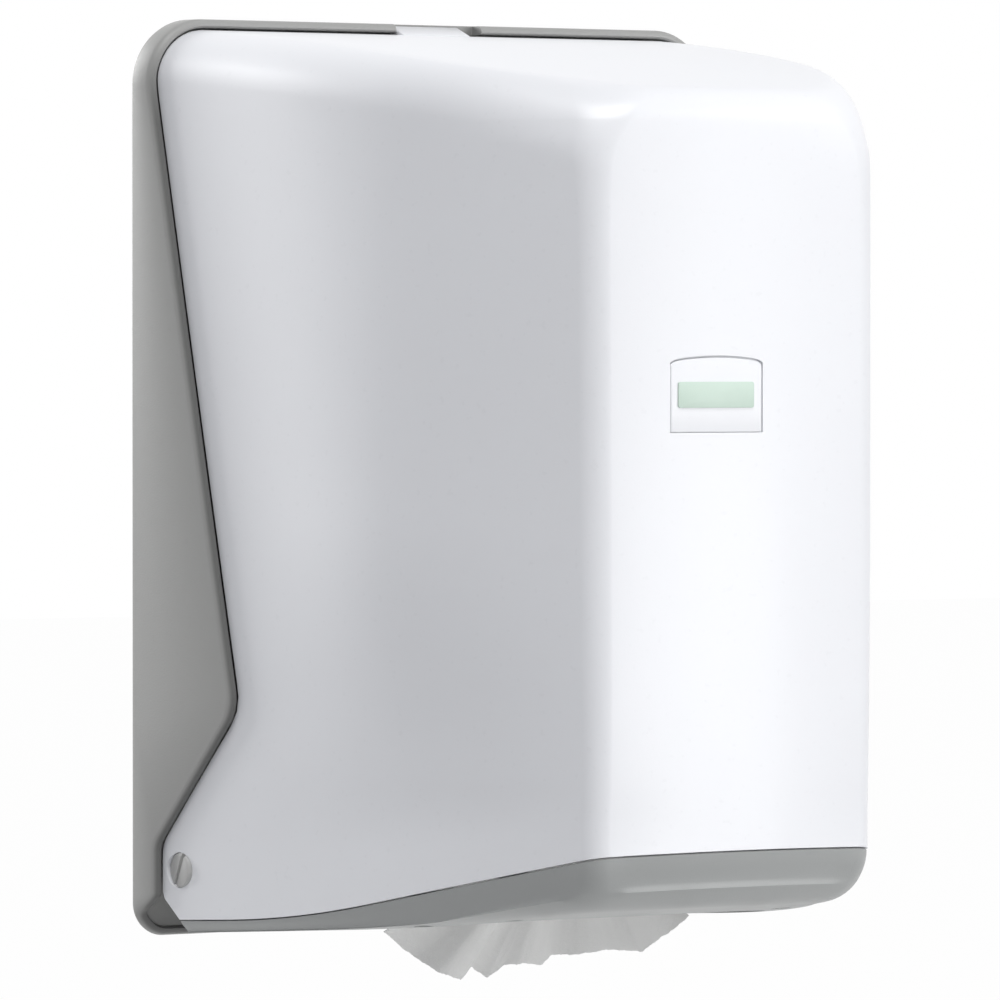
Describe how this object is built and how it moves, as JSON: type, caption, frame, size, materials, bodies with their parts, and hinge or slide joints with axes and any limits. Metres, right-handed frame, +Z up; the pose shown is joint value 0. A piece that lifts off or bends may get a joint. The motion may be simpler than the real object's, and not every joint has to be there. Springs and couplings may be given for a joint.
{
  "type": "centrefeed roll dispenser",
  "caption": "Wall dispenser for a centre-pull paper roll: grey rear casing, white hood hinged at its foot with a base tray, nozzle and shelf, sprung latch at the top, hanging paper tail.",
  "frame": {"origin": "on the wall, at the middle of the four wall holes", "axes": "+Z up, -Y out of the wall towards the user, +X to the right as the user faces it"},
  "size_m": [0.2496, 0.2036, 0.3453],
  "materials": {
    "casing_grey": "satin moulded",
    "cover_white": "gloss moulded",
    "tray_grey": "satin moulded",
    "pin_grey": "satin moulded",
    "latch_grey": "satin moulded",
    "shelf_grey": "satin moulded",
    "nozzle_white": "satin moulded",
    "steel": "bright zinc",
    "paper": "soft tissue",
    "label_mint": "bare gloss label"
  },
  "bodies": {
    "casing": {"rear_casing": "casing_grey", "latch_guide": "latch_grey", "latch_screws": "steel", "latch_spring": "steel"},
    "cover": {"front_cover": "cover_white", "base_tray": "tray_grey", "hinge_pin_left": "pin_grey", "hinge_pin_right": "pin_grey", "pin_clips": "steel", "cover_catch": "steel", "catch_screws": "steel", "roll_shelf": "shelf_grey", "shelf_screws": "steel", "tray_screws": "steel", "paper_nozzle": "nozzle_white", "nozzle_nut": "shelf_grey", "paper_roll": "paper", "paper_tail": "paper", "badge_holder": "cover_white", "badge_label": "label_mint"},
    "latch": {"latch_slider": "latch_grey"}
  },
  "joints": [
    {"name": "cover_hinge", "type": "hinge", "parent": "casing", "child": "cover", "pos_m": [0, -0.0195, -0.1405], "axis": [1, 0, 0], "range_deg": [0, 40]},
    {"name": "latch_press", "type": "slide", "parent": "casing", "child": "latch", "axis": [0, 0, -1], "range_m": [0, 0.004], "stiffness_N_per_m": 400, "springref_m": -0.003, "deforming": ["latch_spring"]}
  ]
}
